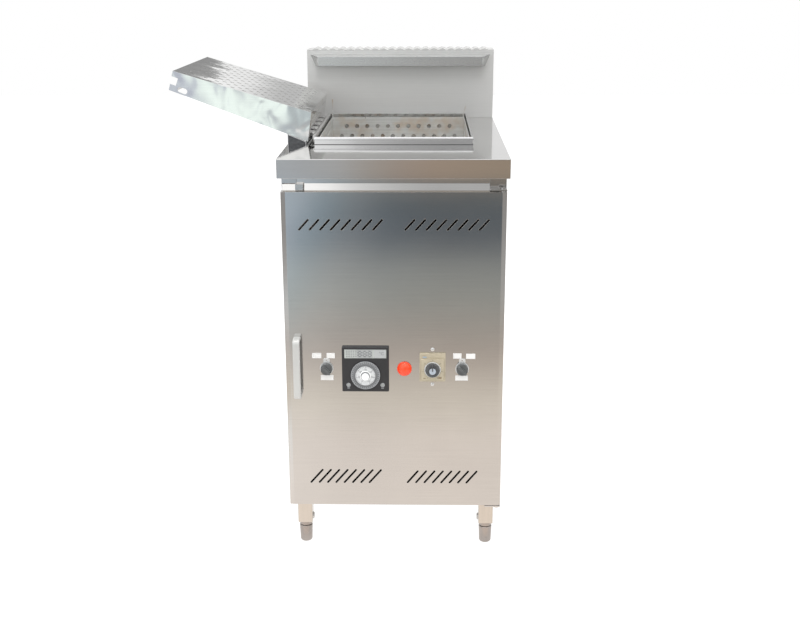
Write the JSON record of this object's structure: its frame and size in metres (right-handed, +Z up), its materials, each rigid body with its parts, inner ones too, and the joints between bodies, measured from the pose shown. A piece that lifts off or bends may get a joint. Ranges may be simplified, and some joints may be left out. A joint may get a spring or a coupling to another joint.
{
  "type": "charbroiler grill",
  "caption": "Free-standing gas charbroiler cabinet with a perforated cooking basket in a raised well, a hinged perforated press lid, a control door and a rear flue.",
  "frame": {"origin": "on the floor under the middle of the cabinet", "axes": "+Z up, -Y out of the door, +X to the right seen from the front"},
  "size_m": [0.6995, 0.7625, 1.009],
  "materials": {
    "brushed_panel": "satin brushed stainless",
    "polished_steel": "bright polished stainless",
    "perforated_steel": "bright rolled stainless, perforated",
    "hot_steel": "heat tinted stainless",
    "cast_radiant": "rough cast",
    "gas_steel": "zinc plated pipe",
    "brass_jet": "turned",
    "valve_alloy": "die cast",
    "white_ceramic": "fired, matt",
    "black_plastic": "moulded, fine texture",
    "grey_box": "moulded",
    "printed_face": "printed film",
    "dial_disc": "moulded",
    "timer_frame": "moulded",
    "red_lens": "clear tinted",
    "lamp_bezel": "moulded",
    "indicator": "clear moulded",
    "label_plate": "engraved laminate, blank",
    "bright_hardware": "plated",
    "foot_steel": "turned"
  },
  "bodies": {
    "cabinet": {"backsplash": "brushed_panel", "bottom_panel": "brushed_panel", "burner_tubes": "hot_steel", "cable_gland": "black_plastic", "countertop": "polished_steel", "door_pivot_pins": "bright_hardware", "drip_tray": "hot_steel", "firebox": "hot_steel", "flue_cap": "brushed_panel", "flue_duct": "hot_steel", "flue_housing": "brushed_panel", "flue_lip": "brushed_panel", "front_header": "brushed_panel", "gas_inlet_pipe": "gas_steel", "gas_jets": "brass_jet", "gas_manifold": "gas_steel", "gas_valve": "valve_alloy", "hinge_brackets": "brushed_panel", "ignition_electrodes": "white_ceramic", "leg_clamp_bolts": "bright_hardware", "leg_sockets": "foot_steel", "legs": "brushed_panel", "lid_hinge_pin": "bright_hardware", "lid_rest": "polished_steel", "magnet_catch": "bright_hardware", "panel_screws": "bright_hardware", "radiant_plates": "cast_radiant", "rear_panel": "brushed_panel", "side_panel_left": "brushed_panel", "side_panel_right": "brushed_panel", "spark_module": "grey_box", "temperature_probe": "bright_hardware", "terminal_box": "grey_box", "tray_rails": "hot_steel", "well_collar": "polished_steel", "well_hinge_leaf": "polished_steel"},
    "door": {"door_skin": "brushed_panel", "control_cover": "brushed_panel", "door_handle": "brushed_panel", "door_strike": "bright_hardware", "controller_body": "black_plastic", "controller_display": "printed_face", "controller_indicators": "indicator", "pilot_lamp_body": "lamp_bezel", "pilot_lamp_lens": "red_lens", "timer_body": "timer_frame", "selector_tags": "bright_hardware", "switch_bodies": "black_plastic", "label_plates": "label_plate"},
    "lid": {"lid_pan": "perforated_steel", "lid_hinge_leaf": "polished_steel"},
    "basket": {"cooking_basket": "perforated_steel"},
    "temperature_dial": {"controller_dial": "dial_disc"},
    "timer_dial": {"timer_knob": "black_plastic"},
    "selector_left": {"selector_knob_left": "black_plastic"},
    "selector_right": {"selector_knob_right": "black_plastic"},
    "front_left_foot": {"foot_front_left": "foot_steel"},
    "front_right_foot": {"foot_front_right": "foot_steel"},
    "rear_left_foot": {"foot_rear_left": "foot_steel"},
    "rear_right_foot": {"foot_rear_right": "foot_steel"}
  },
  "joints": [
    {"name": "door_swing", "type": "hinge", "parent": "cabinet", "child": "door", "pos_m": [0.215, -0.3465, 0.439], "axis": [0, 0, 1], "range_deg": [0, 110]},
    {"name": "lid_swing", "type": "hinge", "parent": "cabinet", "child": "lid", "pos_m": [-0.1715, 0.0355, 0.856], "axis": [0, 1, 0], "range_deg": [0, 159.5]},
    {"name": "basket_lift", "type": "slide", "parent": "cabinet", "child": "basket", "axis": [0, 0, -1], "range_m": [-0.13, 0]},
    {"name": "temperature_turn", "type": "hinge", "parent": "door", "child": "temperature_dial", "pos_m": [-0.059, -0.3545, 0.397], "axis": [0, 1, 0], "range_deg": [0, 300]},
    {"name": "timer_turn", "type": "hinge", "parent": "door", "child": "timer_dial", "pos_m": [0.0783, -0.3545, 0.409], "axis": [0, 1, 0], "range_deg": [-150, 150]},
    {"name": "selector_left_turn", "type": "hinge", "parent": "door", "child": "selector_left", "pos_m": [-0.139, -0.3545, 0.409], "axis": [0, 1, 0], "range_deg": [0, 90]},
    {"name": "selector_right_turn", "type": "hinge", "parent": "door", "child": "selector_right", "pos_m": [0.139, -0.3545, 0.409], "axis": [0, 1, 0], "range_deg": [0, 90]},
    {"name": "front_left_level", "type": "slide", "parent": "cabinet", "child": "front_left_foot", "axis": [0, 0, -1], "range_m": [0, 0.02]},
    {"name": "front_right_level", "type": "slide", "parent": "cabinet", "child": "front_right_foot", "axis": [0, 0, -1], "range_m": [0, 0.02]},
    {"name": "rear_left_level", "type": "slide", "parent": "cabinet", "child": "rear_left_foot", "axis": [0, 0, -1], "range_m": [0, 0.02]},
    {"name": "rear_right_level", "type": "slide", "parent": "cabinet", "child": "rear_right_foot", "axis": [0, 0, -1], "range_m": [0, 0.02]}
  ]
}
